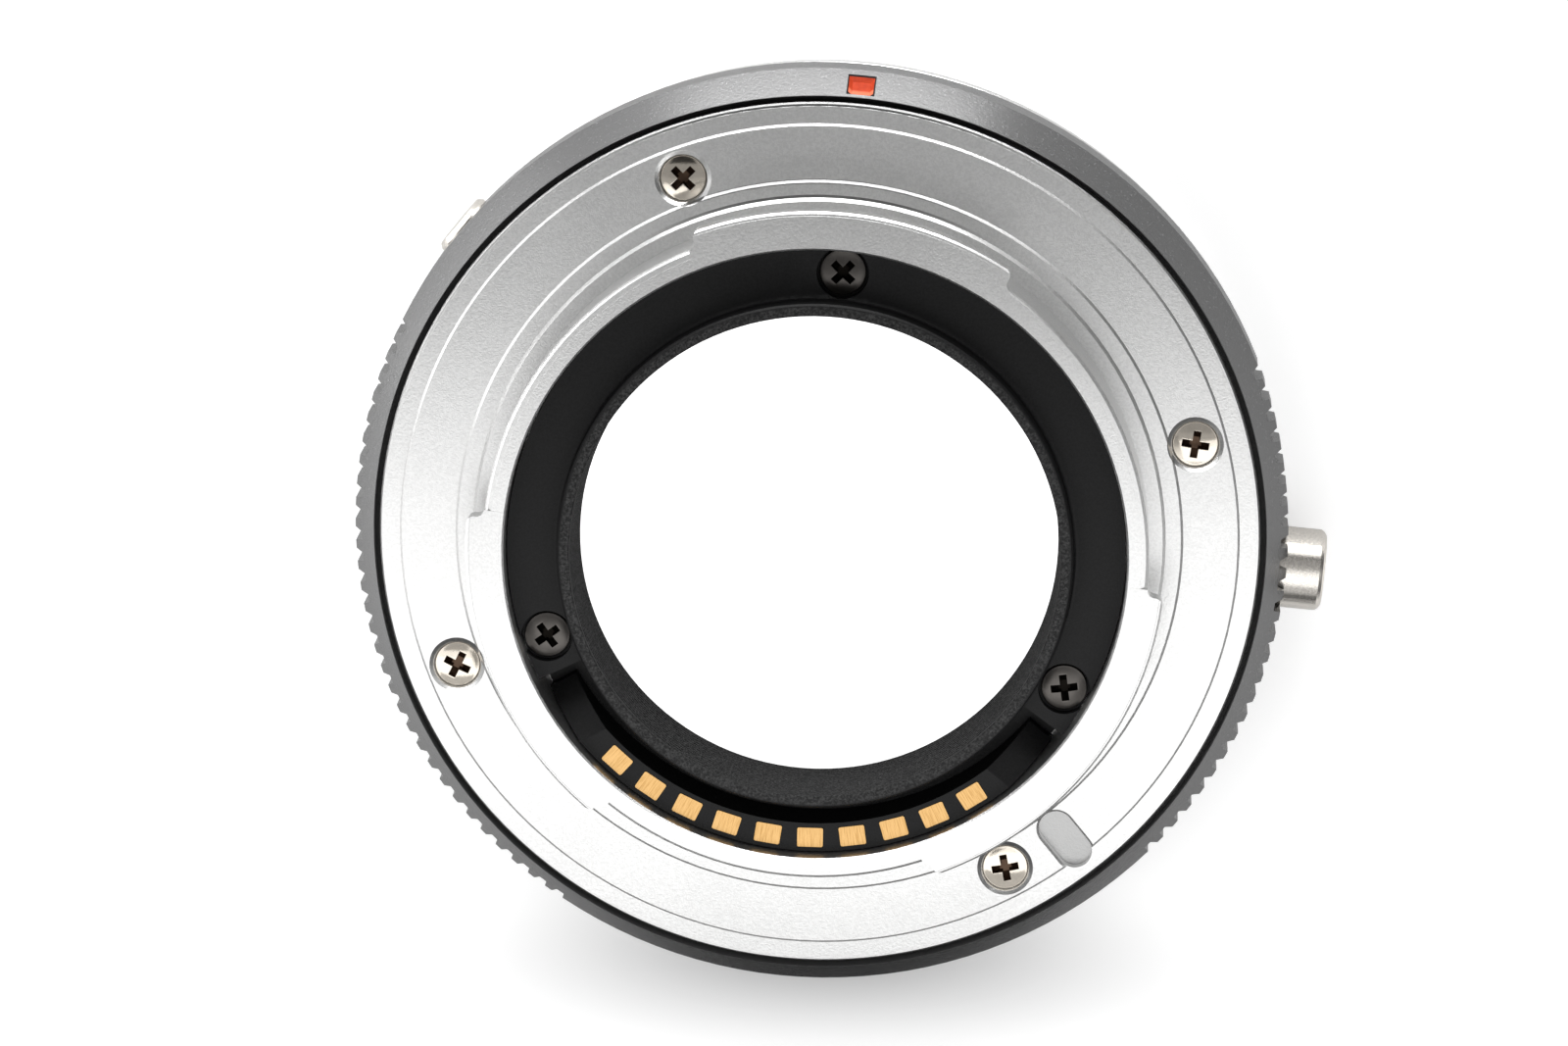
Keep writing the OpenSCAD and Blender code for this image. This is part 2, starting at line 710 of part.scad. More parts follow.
// Baffle: ribbed light tunnel and the black face round it
module tunnel_section() {
    rib_count = floor((lip_front - tunnel_rear - 0.4) / rib_pitch);
    taper = (tunnel_front_r - tunnel_rear_r) / (lip_front - tunnel_rear);
    ribs = [for (i = [0:rib_count - 1])
        let (z = tunnel_rear + 0.2 + i * rib_pitch)
        each [
            [tunnel_rear_r + (z - tunnel_rear) * taper, z],
            [tunnel_rear_r + (z + rib_pitch * 0.3 - tunnel_rear) * taper + rib_depth, z + rib_pitch * 0.3],
            [tunnel_rear_r + (z + rib_pitch * 0.6 - tunnel_rear) * taper, z + rib_pitch * 0.6]
        ]];
    polygon(concat(
        [[tunnel_rear_r, tunnel_rear]],
        ribs,
        [
            [tunnel_front_r, lip_front - 0.05], [tunnel_front_r + 0.05, lip_front],
            [lip_r - 0.12, lip_front], [lip_r, lip_front - 0.12], [lip_r, tunnel_rear]
        ]
    ));
}

module face_section() {
    root = 0.35;
    difference() {
        union() {
            translate([lip_r - 0.3, face_z - baffle_face_t])
                square([baffle_r - lip_r + 0.3, baffle_face_t]);
            translate([lip_r - eps, face_z - eps]) square([root + eps, root + eps]);
        }
        translate([lip_r + root, face_z + root]) circle(r = root);
    }
}

module baffle() {
    color("#1b1b1c") difference() {
        union() {
            rotate_extrude() tunnel_section();
            rotate([0, 0, window_to])
                rotate_extrude(angle = 360 - (window_to - window_from))
                    face_section();
            for (s = baffle_screws_at)
                at_polar(baffle_screw_r, s[0], web_top)
                    cylinder(d = boss_d, h = face_z - web_top - baffle_face_t + eps);
        }
        for (s = baffle_screws_at)
            at_polar(baffle_screw_r, s[0]) {
                translate([0, 0, web_top - 1])
                    cylinder(d = baffle_screw_d + 2 * run_gap, h = far);
                translate([0, 0, face_z - head_pocket_depth])
                    cylinder(d = baffle_head_d + 4 * fit_gap, h = far);
            }
    }
}

module baffle_screws() {
    edge_h = 0.32;
    crown = 0.28;
    head_z = face_z - head_pocket_depth;
    color("#3c3836")
        for (s = baffle_screws_at)
            at_polar(baffle_screw_r, s[0], head_z)
                rotate([0, 0, s[1] - s[0]])
                    difference() {
                        union() {
                            cylinder(d = baffle_head_d, h = edge_h);
                            translate([0, 0, edge_h - eps]) dome(baffle_head_d, crown);
                            translate([0, 0, recess_z + 0.2 - head_z])
                                cylinder(d = baffle_screw_d, h = head_z - recess_z - 0.2 + eps);
                        }
                        translate([0, 0, edge_h + crown]) cross_recess(baffle_head_d);
                    }
}

// Contact block: a moulded arc that stands on the web over the contacts' tails
function contact_angle(i) = contact_from + contact_pitch * i;

module ramp_cut(angle, side) {
    ramp_l = block_inner_r * ramp_span * PI / 180;
    at_polar(0, angle, block_z)
        translate([0, side * ramp_l, 0])
            rotate([side * atan2(ramp_drop, ramp_l), 0, 0])
                block([web_r, side > 0 ? -2 * ramp_l : 0, 0],
                    [baffle_r + 5, side > 0 ? 0 : 2 * ramp_l, block_z - web_top]);
}

module contact_block() {
    from = window_from + ramp_gap;
    to = window_to - ramp_gap;
    color("#262628") difference() {
        union() {
            sector(lip_r + fit_gap, baffle_r - fit_gap, web_top, web_top + foot_t, window_from, window_to);
            difference() {
                sector(block_inner_r, baffle_r, web_top + foot_t / 2, block_z, from, to);
                ramp_cut(from, 1);
                ramp_cut(to, -1);
            }
        }
        tail_room(web_top - 1, block_z - block_roof_t);
        for (i = [0:contact_count - 1])
            at_polar(contact_r, contact_angle(i)) {
                translate([0, 0, block_z - contact_t + stop_gap])
                    contact_shape(stop_gap / 2, contact_t);
                translate([0, 0, web_top]) cylinder(d = tail_d + 2 * run_gap, h = block_z - web_top);
            }
    }
}

module contact_shape(grow, h) {
    l = contact_l + 2 * grow;
    w = contact_w + 2 * grow;
    corner = 0.12;
    for (x = [-1, 1]) for (y = [-1, 1])
        translate([x * (l / 2 - corner), y * (w / 2 - corner), 0]) cylinder(r = corner, h = h);
    translate([-l / 2 + corner, -w / 2, 0]) cube([l - 2 * corner, w, h]);
    translate([-l / 2, -w / 2 + corner, 0]) cube([l, w - 2 * corner, h]);
}

module contact(i) {
    color("#e2b45c")
        at_polar(contact_r, contact_angle(i)) {
            translate([0, 0, block_z - contact_t + stop_gap]) contact_shape(0, contact_t);
            translate([0, 0, flex_z + flex_t])
                cylinder(d = tail_d, h = block_z - contact_t + stop_gap - flex_z - flex_t + eps);
        }
}

module flex_circuit() {
    color("#8a5a20") circuit_shape(flex_z, flex_z + flex_t, 0);
}

// Lens release
module release_button() {
    edge = 0.35;
    color("#c9c3b6") rotate([0, 0, release_angle]) {
        rod_x(release_r, head_inner, release_tip - edge, release_z);
        translate([release_tip - edge - eps, 0, release_z]) rotate([0, 90, 0])
            cylinder(r1 = release_r, r2 = release_r - edge * 0.4, h = edge * 0.6 + eps);
        translate([release_tip - edge * 0.4 - eps, 0, release_z]) rotate([0, 90, 0])
            cylinder(r1 = release_r - edge * 0.4, r2 = release_r - edge, h = edge * 0.4 + eps);
        rod_x(stem_d / 2, fork_inner, head_inner + eps, release_z);
    }
}

module release_fork() {
    back_out = fork_inner + fork_back_t;
    prong_top = ramp_touch_z + (ramp_end - ramp_touch_x) * wedge_ratio;
    tip_z = ramp_touch_z - (ramp_touch_x - ramp_start) * wedge_ratio;
    color("#9a8a5a") rotate([0, 0, release_angle]) {
        for (side = [-1, 1])
            translate([0, side > 0 ? prong_out : -prong_in, 0]) rotate([90, 0, 0])
                linear_extrude(height = prong_out - prong_in)
                    polygon([
                        [ramp_start, fork_base_z], [back_out, fork_base_z],
                        [back_out, prong_top], [ramp_end, prong_top], [ramp_start, tip_z]
                    ]);
        difference() {
            block([fork_inner, -prong_out, fork_base_z], [back_out, prong_out, release_z + stem_d / 2 + 0.3]);
            rod_x(stem_d / 2, fork_inner - 1, back_out + 1, release_z);
        }
    }
}

module release_spring() {
    wire = 0.25;
    color("#b8bcc0") rotate([0, 0, release_angle])
        translate([stem_wall_out + stop_gap / 2, 0, release_z]) rotate([0, 90, 0])
            coil(release_r - 0.5, wire, spring_room - stop_gap, 3.5);
}

module lock_pin() {
    tip_bevel = 0.15;
    color("#b9bdc2") rotate([0, 0, release_angle]) translate([pin_r, 0, 0]) {
        translate([0, 0, -pin_proud])
            cylinder(r1 = pin_d / 2 - tip_bevel, r2 = pin_d / 2, h = tip_bevel);
        translate([0, 0, tip_bevel - pin_proud - eps])
            cylinder(d = pin_d, h = pin_top + pin_proud - tip_bevel + eps);
        translate([0, prong_out, bar_z]) rotate([90, 0, 0]) cylinder(r = bar_r, h = 2 * prong_out);
        translate([0, 0, collar_z]) cylinder(r = collar_r, h = collar_t);
    }
}

module lock_pin_spring() {
    wire = 0.2;
    low = collar_z + collar_t + stop_gap / 2;
    color("#b8bcc0") rotate([0, 0, release_angle])
        translate([pin_r, 0, low])
            coil(collar_r - wire / 2 - 0.02, wire, pocket_top - low - stop_gap / 2, 5);
}

// Function button and its switch
module function_button() {
    edge = 0.3;
    color("#c9c3b6") rotate([0, 0, function_angle]) {
        rod_x(function_collar_r, function_back, function_back + function_collar_t, function_z);
        rod_x(function_r, function_back, function_tip - edge, function_z);
        translate([function_tip - edge - eps, 0, function_z]) rotate([0, 90, 0])
            cylinder(r1 = function_r, r2 = function_r - edge * 0.8, h = edge + eps);
    }
}

module switch_plunger() {
    color("#d8d8d4") rotate([0, 0, function_angle])
        rod_x(plunger_r, switch_outer - plunger_depth + function_travel + stop_gap, function_back, function_z);
}

module function_switch() {
    half_w = switch_w / 2;
    top = function_z + switch_h / 2;
    color("#2b2b2e") rotate([0, 0, function_angle]) difference() {
        union() {
            block([switch_inner, -half_w, function_z - switch_h / 2], [switch_outer, half_w, top]);
            for (side = [-1, 1])
                block([switch_outer - 1.1 - leg_l / 2, side * leg_y - leg_w / 2, top - eps],
                    [switch_outer - 1.1 + leg_l / 2, side * leg_y + leg_w / 2, flex_z]);
        }
        rod_x(plunger_r + run_gap, switch_outer - plunger_depth, switch_outer + 1, function_z);
    }
}

// Lens side
module lens_ring_section() {
    edge = 0.25;
    polygon([
        [throat_r, 0.1], [throat_r + 0.1, 0], [lens_ring_r - edge, 0], [lens_ring_r, edge],
        [lens_ring_r, lens_ring_t - edge / 2], [lens_ring_r - edge / 2, lens_ring_t],
        [throat_r, lens_ring_t]
    ]);
}

module lens_ring() {
    color("#d6d8da") difference() {
        union() {
            rotate_extrude() lens_ring_section();
            for (a = claws_at)
                sector(claw_r, throat_r + 0.3, fit_gap, fit_gap + claw_t, a - claw_span / 2, a + claw_span / 2);
        }
        for (a = lens_screws_at)
            at_polar(lens_screw_r, a, fit_gap) mirror([0, 0, 1])
                countersunk_hole(lens_head_d + 2 * run_gap, screw_d, lens_ring_t + 1);
        at_polar(pin_r, release_angle, -1) cylinder(r = pin_d / 2 + run_gap, h = lens_ring_t + 2);
    }
}

module lens_ring_screws() {
    color("#cfc6b8")
        for (a = lens_screws_at)
            at_polar(lens_screw_r, a, fit_gap) mirror([0, 0, 1])
                countersunk_screw(lens_head_d, screw_d, lens_ring_t - fit_gap + lens_screw_bite, 0, a);
}

// Leaf spring: a thin strip behind a claw, bowed towards the lens's own claws
function leaf_height(share) = leaf_bow * (1 - cos(360 * share)) / 2;

module leaf(angle) {
    steps = 16;
    reach = claw_span * 0.8;
    inner = claw_r + 0.3;
    outer = throat_r - 0.15;
    low = fit_gap + claw_t;
    points = [for (i = [0:steps])
        let (
            a = angle - reach / 2 + reach * i / steps,
            z = low + leaf_height(i / steps)
        )
        each [
            [inner * cos(a), inner * sin(a), z], [outer * cos(a), outer * sin(a), z],
            [outer * cos(a), outer * sin(a), z + leaf_t], [inner * cos(a), inner * sin(a), z + leaf_t]
        ]];
    walls = [for (i = [0:steps - 1]) for (j = [0:3])
        let (next = (j + 1) % 4)
        [i * 4 + j, (i + 1) * 4 + j, (i + 1) * 4 + next, i * 4 + next]];
    polyhedron(points = points, convexity = 4,
        faces = concat(walls, [[0, 1, 2, 3]], [[steps * 4 + 3, steps * 4 + 2, steps * 4 + 1, steps * 4]]));
}

module leaf_springs() {
    color("#c8b070") for (a = claws_at) leaf(a);
}

body_ring();
camera_bayonet();
flange_screws();
baffle();
baffle_screws();
contact_block();
contact(0);  // contact_01
contact(1);  // contact_02
contact(2);  // contact_03
contact(3);  // contact_04
contact(4);  // contact_05
contact(5);  // contact_06
contact(6);  // contact_07
contact(7);  // contact_08
contact(8);  // contact_09
contact(9);  // contact_10
flex_circuit();
index_mark();
release_button();
release_fork();
release_spring();
lock_pin();
lock_pin_spring();
function_button();
switch_plunger();
function_switch();
lens_ring();
lens_ring_screws();
leaf_springs();
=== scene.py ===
import math

import bmesh
import bpy
from mathutils import Matrix, Vector


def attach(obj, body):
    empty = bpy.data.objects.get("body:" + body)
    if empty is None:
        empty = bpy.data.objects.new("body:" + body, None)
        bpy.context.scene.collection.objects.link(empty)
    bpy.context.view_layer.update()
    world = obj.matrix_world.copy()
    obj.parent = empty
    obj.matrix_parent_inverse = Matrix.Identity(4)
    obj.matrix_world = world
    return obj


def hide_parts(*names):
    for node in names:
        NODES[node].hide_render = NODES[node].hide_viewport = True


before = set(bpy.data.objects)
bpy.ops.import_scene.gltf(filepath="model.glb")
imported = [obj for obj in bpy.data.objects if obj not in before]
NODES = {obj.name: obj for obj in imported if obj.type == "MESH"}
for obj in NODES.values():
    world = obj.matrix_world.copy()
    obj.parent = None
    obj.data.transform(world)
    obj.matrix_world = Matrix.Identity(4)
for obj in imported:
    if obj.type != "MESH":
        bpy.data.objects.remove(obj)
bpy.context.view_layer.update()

MM = 0.001

# Sizes in millimetres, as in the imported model
SEAT_Z = 10.1
FLANGE_R = 29.0
RIM_R = 30.88
GAP_R = 29.4
TUBE_FRONT = 15.5
BORE_R = 20.3
LIP_R = 16.8
SLOT_CENTRE = (16.39, -20.31)
FLANGE_SCREW_R = 25.53
FLANGE_SCREWS = [(110.2, 45), (15, -9), (200.2, -26), (-60.9, 11)]
MARK_ANGLE = 84.8
FLANGE_STEPS = [(22.8, 23.0), (23.7, 24.0), (27.5, 27.68), (28.74, 29.05)]


# Camera
def photo_camera():
    tilt, swing = math.radians(13.22), math.radians(2.79)
    distance = 424 * MM
    focal_px = 15.534 * 424
    frame_px = 1600
    back = Vector((math.sin(swing) * math.cos(tilt), math.sin(tilt), math.cos(swing) * math.cos(tilt)))
    right = Vector((0, 1, 0)).cross(back).normalized()
    up = back.cross(right)
    data = bpy.data.cameras.new("photo_camera")
    data.sensor_width = 36
    data.lens = focal_px * data.sensor_width / frame_px
    data.shift_x = -34.9 / frame_px
    data.shift_y = 17.8 / frame_px
    data.clip_start = 0.01
    data.clip_end = 20
    camera = bpy.data.objects.new("photo_camera", data)
    bpy.context.scene.collection.objects.link(camera)
    turn = Matrix((right, up, back)).transposed().to_4x4()
    camera.matrix_world = Matrix.Translation(Vector((0, 0, 10.5 * MM)) + back * distance) @ turn
    bpy.context.scene.camera = camera


# Shader maths
class Value:
    """A number socket; Python's operators add Math nodes."""

    def __init__(self, finish, socket):
        self.finish = finish
        self.socket = socket

    def __add__(self, other): return self.finish.math("ADD", self, other)
    def __radd__(self, other): return self.finish.math("ADD", other, self)
    def __sub__(self, other): return self.finish.math("SUBTRACT", self, other)
    def __rsub__(self, other): return self.finish.math("SUBTRACT", other, self)
    def __mul__(self, other): return self.finish.math("MULTIPLY", self, other)
    def __rmul__(self, other): return self.finish.math("MULTIPLY", other, self)
    def __truediv__(self, other): return self.finish.math("DIVIDE", self, other)
    def __rtruediv__(self, other): return self.finish.math("DIVIDE", other, self)
    def __pow__(self, other): return self.finish.math("POWER", self, other)
    def __neg__(self): return self.finish.math("MULTIPLY", self, -1.0)

    def step(self, low, high):
        """0 below low, 1 above high and smooth between them."""
        return self.finish.node("ShaderNodeMapRange", {"interpolation_type": "SMOOTHSTEP"},
            Value=self, From_Min=low, From_Max=high)["Result"]

    def clamp(self):
        return self.finish.math("ADD", self, 0.0, clamp=True)


class Node:
    """A node whose outputs are read by name."""

    def __init__(self, finish, node):
        self.finish = finish
        self.node = node

    def __getitem__(self, name):
        return Value(self.finish, self.node.outputs[name])


class Finish:
    """A procedural material with one Principled shader."""

    def __init__(self, name, colour, metallic=0.0, roughness=0.4, ior=1.5, **shader):
        self.material = bpy.data.materials.new(name)
        self.material.use_nodes = True
        self.tree = self.material.node_tree
        self.tree.nodes.clear()
        self.shader = self.tree.nodes.new("ShaderNodeBsdfPrincipled")
        out = self.tree.nodes.new("ShaderNodeOutputMaterial")
        self.tree.links.new(self.shader.outputs["BSDF"], out.inputs["Surface"])
        self.out = out
        self.set("Base Color", colour)
        self.set("Metallic", metallic)
        self.set("Roughness", roughness)
        self.set("IOR", ior)
        for key, value in shader.items():
            self.set(key.replace("_", " "), value)
        self.material.diffuse_color = (*colour, 1)

    def put(self, socket, value):
        if isinstance(value, Value):
            self.tree.links.new(value.socket, socket)
        elif hasattr(socket.default_value, "__len__"):
            value = tuple(value)
            socket.default_value = value + (1.0,) * (len(socket.default_value) - len(value))
        else:
            socket.default_value = value

    def set(self, name, value):
        self.put(self.shader.inputs[name], value)

    def node(self, kind, settings=None, **inputs):
        node = self.tree.nodes.new(kind)
        for key, value in (settings or {}).items():
            if key == "stops":
                ramp = node.color_ramp
                while len(ramp.elements) < len(value):
                    ramp.elements.new(0.5)
                for element, (place, colour) in zip(ramp.elements, value):
                    element.position = place
                    element.color = (*colour, 1) if hasattr(colour, "__len__") else (colour,) * 3 + (1,)
            else:
                setattr(node, key, value)
        for key, value in inputs.items():
            if key.startswith("n") and key[1:].isdigit():
                socket = node.inputs[int(key[1:])]
            else:
                socket = node.inputs[key.replace("_", " ")]
            self.put(socket, value)
        return Node(self, node)

    def math(self, operation, a, b=0.0, clamp=False):
        return self.node("ShaderNodeMath", {"operation": operation, "use_clamp": clamp}, n0=a, n1=b)["Value"]

    def vector(self, operation, a, b=(0, 0, 0), scale=None):
        node = self.node("ShaderNodeVectorMath", {"operation": operation}, n0=a, n1=b)
        if scale is not None:
            self.put(node.node.inputs["Scale"], scale)
        return node["Value" if operation in ("LENGTH", "DOT_PRODUCT", "DISTANCE") else "Vector"]

    def mix(self, factor, a, b):
        """Colour a where factor is 0 and colour b where it is 1."""
        node = self.node("ShaderNodeMix", {"data_type": "RGBA"}, n0=factor, n6=a, n7=b)
        return Value(self, node.node.outputs[2])

    def place(self):
        """The point on the piece in millimetres."""
        return self.vector("SCALE", self.node("ShaderNodeTexCoord")["Object"], scale=1000.0)

    def polar(self, centre=(0.0, 0.0)):
        """Radius in millimetres, turn in -0.5..0.5 and height of the point."""
        point = self.node("ShaderNodeSeparateXYZ", Vector=self.place())
        x, y = point["X"] - centre[0], point["Y"] - centre[1]
        radius = self.math("SQRT", x * x + y * y)
        turn = self.math("ARCTAN2", y, x) / (2 * math.pi)
        return radius, turn, point["Z"]

    def noise(self, scale, detail=2.0, rough=0.5, at=None):
        return self.node("ShaderNodeTexNoise", None, Vector=at or self.place(), Scale=scale,
            Detail=detail, Roughness=rough)["Fac"]

    def bump(self, height, strength, distance, normal=None):
        inputs = dict(Height=height, Strength=strength, Distance=distance * MM)
        if normal is not None:
            inputs["Normal"] = normal
        return self.node("ShaderNodeBump", None, **inputs)["Normal"]


# Finishes
def screw_seats(f):
    """Height in millimetres of the bevel that falls to each flange screw's head."""
    outer = 1.85
    heights = []
    for angle, turn in FLANGE_SCREWS:
        a = math.radians(angle)
        centre = (FLANGE_SCREW_R * math.cos(a), FLANGE_SCREW_R * math.sin(a))
        heights.append(f.math("MINIMUM", f.polar(centre)[0] - outer, 0.0))
    lowest = heights[0]
    for height in heights[1:]:
        lowest = f.math("MINIMUM", lowest, height)
    return lowest


def painted_bevel_shade(f):
    """1 on the narrow bevels where the flange steps, on the index mark's side only: painted shade that dulls
    their glint there.
    """
    radius, turn, height = f.polar()
    edges = 0.0
    for inner, outer in FLANGE_STEPS:
        band = radius.step(inner, inner + 0.02) * (1.0 - radius.step(outer - 0.02, outer))
        edges = f.math("MAXIMUM", edges, band)
    # Only the side round the index mark is kept, so the darkening is painted shade on the bevels there.
    painted_shade_side = f.math("SINE", turn * (2 * math.pi)).step(0.86, 0.99)
    return edges * painted_shade_side * height.step(8.0, 8.1) * (1.0 - height.step(12.0, 12.1))


def eased_bevels(f):
    """Height in millimetres that lays the inner part of each wide bevel level with the face beside it."""
    radius, turn, height = f.polar()
    lug_level = height.step(15.0, 15.05) * (1.0 - height.step(15.47, 15.495))
    rise = 0.0
    for start, width, mask in ((28.75, 0.13, 1.0 - height.step(10.2, 10.3)), (22.53, 0.13, lug_level),
            (21.2, 0.3, lug_level)):
        rise = rise + mask * f.math("MINIMUM", f.math("MAXIMUM", radius - start, 0.0), width) * math.sqrt(2)
    return rise


def satin_chrome(name="satin_chrome", colour=(0.80, 0.80, 0.795), roughness=0.34):
    """Satin nickel-chrome: a blasted grain, with painted shade on the lock slot's floor and on the step
    bevels at the index mark's side.
    """
    f = Finish(name, colour, 1.0, roughness)
    radius, turn, height = f.polar(SLOT_CENTRE)
    grain = f.noise(5.5, 2.0, 0.7)
    fine = f.noise(11.0, 1.0, 0.5)
    cloud = f.noise(0.16, 3.0, 0.55)
    grained = f.mix(grain.step(0.34, 0.66), tuple(0.9 * c for c in colour), colour)
    # The lock slot's floor is darkened: painted shade in the recess.
    slot_painted_shade = (1.0 - radius.step(2.4, 2.6)) * (1.0 - height.step(SEAT_Z - 0.9, SEAT_Z - 0.8))
    seats = screw_seats(f) * height.step(SEAT_Z - 0.05, SEAT_Z - 0.02)
    # The step bevels on the mark's side are darkened: painted shade.
    turned = f.mix(painted_bevel_shade(f), grained, tuple(0.3 * c for c in colour))
    f.set("Base Color", f.mix(slot_painted_shade, turned, tuple(0.55 * c for c in colour)))
    f.set("Roughness", roughness - 0.05 + grain * 0.08 + cloud.step(0.35, 0.7) * 0.035)
    blasted = f.bump(fine, 0.4, 0.01, f.bump(grain, 0.6, 0.02))
    f.set("Normal", f.bump(seats + eased_bevels(f), 1.0, 1.0, blasted))
    return f


def black_anodised():
    """Black anodised aluminium: a fine bright speckle on a dull sheen."""
    f = Finish("black_anodised", (0.006, 0.006, 0.0065), 0.0, 0.28, 2.2)
    grain = f.noise(5.0, 3.0, 0.7)
    speck = f.noise(6.0, 2.0, 0.8)
    radius, turn, height = f.polar()
    # The wall down in the flange gap gets no bright speckle, so it stays dark: painted shade between the
    # parts.
    wall = 1.0 - radius.step(GAP_R, GAP_R + 0.05)
    bright = speck.step(0.61, 0.68) * (1.0 - wall)
    f.set("Base Color", f.mix(bright, (0.003, 0.003, 0.0034), (0.11, 0.11, 0.112)))
    f.set("Roughness", 0.17 + grain * 0.12 + wall * 0.6)
    f.set("Normal", f.bump(grain, 0.8, 0.03))
    return f


def black_moulding(name="black_moulding", colour=(0.0035, 0.0035, 0.0038), roughness=0.5):
    """Moulded black plastic with a fine leather-like mould grain; pale patches inside the baffle's opening
    are painted light.
    """
    f = Finish(name, colour, 0.0, roughness, 1.5, Specular_IOR_Level=0.26)
    grain = f.noise(3.5, 2.0, 0.5)
    fine = f.noise(6.5, 2.0, 0.7)
    dark, pale = tuple(0.5 * c for c in colour), tuple(1.7 * c for c in colour)
    radius, turn, height = f.polar()
    # Pale grey patches on the lip and tunnel inside the opening stand for their lit parts: painted light.
    tunnel_painted_light = (1.0 - radius.step(LIP_R - 0.3, LIP_R - 0.1)) * fine.step(0.35, 0.75)
    f.set("Base Color", f.mix(tunnel_painted_light, f.mix(fine.step(0.3, 0.7), dark, pale), (0.05, 0.05, 0.05)))
    f.set("Roughness", roughness - 0.05 + fine * 0.12)
    f.set("Normal", f.bump(grain, 0.35, 0.03, f.bump(fine, 0.6, 0.02)))
    return f


def nickel(name="nickel", colour=(0.84, 0.77, 0.67), roughness=0.1, recess=(0.10, 0.065, 0.045)):
    """Bright nickel with tumbling marks, with painted shade in dark brown down in a screw's cross, where it
    is also duller.
    """
    f = Finish(name, colour, 1.0, roughness)
    cloud = f.noise(1.1, 3.0, 0.6)
    marks = f.noise(7.0, 2.0, 0.6)
    deep = f.node("ShaderNodeAttribute", {"attribute_name": "recess"})["Fac"]
    bright = f.mix(cloud.step(0.35, 0.7), colour, tuple(0.9 * c for c in colour))
    # Down in the screw's cross the colour turns dark brown: painted shade in the recess.
    f.set("Base Color", f.mix(deep, bright, recess))
    f.set("Roughness", roughness + marks * 0.06 + deep * 0.25)
    f.set("Normal", f.bump(marks, 0.3, 0.008))
    return f


def satin_nickel():
    """The buttons' plated sides: nickel with a fine grain."""
    f = Finish("satin_nickel", (0.80, 0.76, 0.70), 1.0, 0.24)
    grain = f.noise(9.0, 2.0, 0.7)
    f.set("Base Color", f.mix(grain.step(0.35, 0.65), (0.70, 0.665, 0.615), (0.86, 0.82, 0.76)))
    f.set("Roughness", 0.2 + grain * 0.09)
    f.set("Normal", f.bump(grain, 0.45, 0.012))
    return f


def gold():
    """Hard gold plate on a contact, faintly wiped along the radius."""
    f = Finish("gold_plate", (0.80, 0.49, 0.18), 1.0, 0.2)
    radius, turn, height = f.polar()
    wiped = f.noise(1.0, 2.0, 0.6, f.node("ShaderNodeCombineXYZ", X=radius * 0.8, Y=turn * 1400.0)["Vector"])
    f.set("Base Color", f.mix(wiped.step(0.4, 0.7), (0.63, 0.39, 0.16), (0.49, 0.285, 0.10)))
    f.set("Roughness", 0.17 + wiped * 0.14)
    f.set("Normal", f.bump(wiped, 0.3, 0.006))
    return f


def orange_paint():
    """Orange paint in its pocket, with a black border where the pocket is wider than the paint, and a painted
    highlight in salmon along its inner edge.
    """
    f = Finish("orange_paint", (0.60, 0.07, 0.014), 0.0, 0.45, 1.5, Specular_IOR_Level=0.12)
    cloud = f.noise(3.0, 3.0, 0.6)
    radius, turn, height = f.polar()
    side = f.math("ABSOLUTE", turn * 360.0 - MARK_ANGLE) * (2 * math.pi * 30.0 / 360)
    painted = (1.0 - side.step(0.80, 0.84)) * height.step(7.98, 8.02) * (1.0 - height.step(9.22, 9.26))
    deep = f.mix(cloud.step(0.3, 0.75), (0.46, 0.042, 0.008), (0.36, 0.03, 0.006))
    # Salmon above height 8.8, along the pocket's inner edge: painted highlight.
    orange_with_painted_highlight = f.mix(height.step(8.8, 9.0), deep, (0.72, 0.17, 0.085))
    f.set("Base Color", f.mix(painted, (0.006, 0.006, 0.006), orange_with_painted_highlight))
    f.set("Normal", f.bump(cloud, 0.3, 0.03))
    return f


def drawn_wire(name, colour):
    f = Finish(name, colour, 1.0, 0.25)
    drawn = f.noise(9.0, 2.0, 0.6)
    f.set("Roughness", 0.2 + drawn * 0.14)
    f.set("Normal", f.bump(drawn, 0.2, 0.004))
    return f


def circuit_film():
    f = Finish("circuit_film", (0.40, 0.17, 0.03), 0.0, 0.3, 1.6)
    copper = f.noise(2.0, 1.0, 0.5)
    f.set("Base Color", f.mix(copper.step(0.45, 0.55), (0.42, 0.18, 0.035), (0.30, 0.12, 0.02)))
    return f


FINISHES = {
    "black_anodised": black_anodised(),
    "satin_chrome": satin_chrome(),
    "bright_chrome": satin_chrome("bright_chrome", (0.84, 0.84, 0.835), 0.26),
    "nickel": nickel(),
    "satin_nickel": satin_nickel(),
    # Its last colour is the painted shade down in the screws' cross.
    "dark_nickel": nickel("dark_nickel", (0.115, 0.107, 0.1), 0.3, (0.014, 0.012, 0.01)),
    "black_plastic": black_moulding(),
    "gold_contact": gold(),
    "circuit_film": circuit_film(),
    "orange_paint": orange_paint(),
    "brass_fork": drawn_wire("brass_fork", (0.70, 0.50, 0.22)),
    "spring_steel": drawn_wire("spring_steel", (0.55, 0.56, 0.57)),
    "switch_plastic": black_moulding("switch_plastic", (0.03, 0.03, 0.032), 0.4),
    "leaf_bronze": drawn_wire("leaf_bronze", (0.68, 0.48, 0.28)),
}


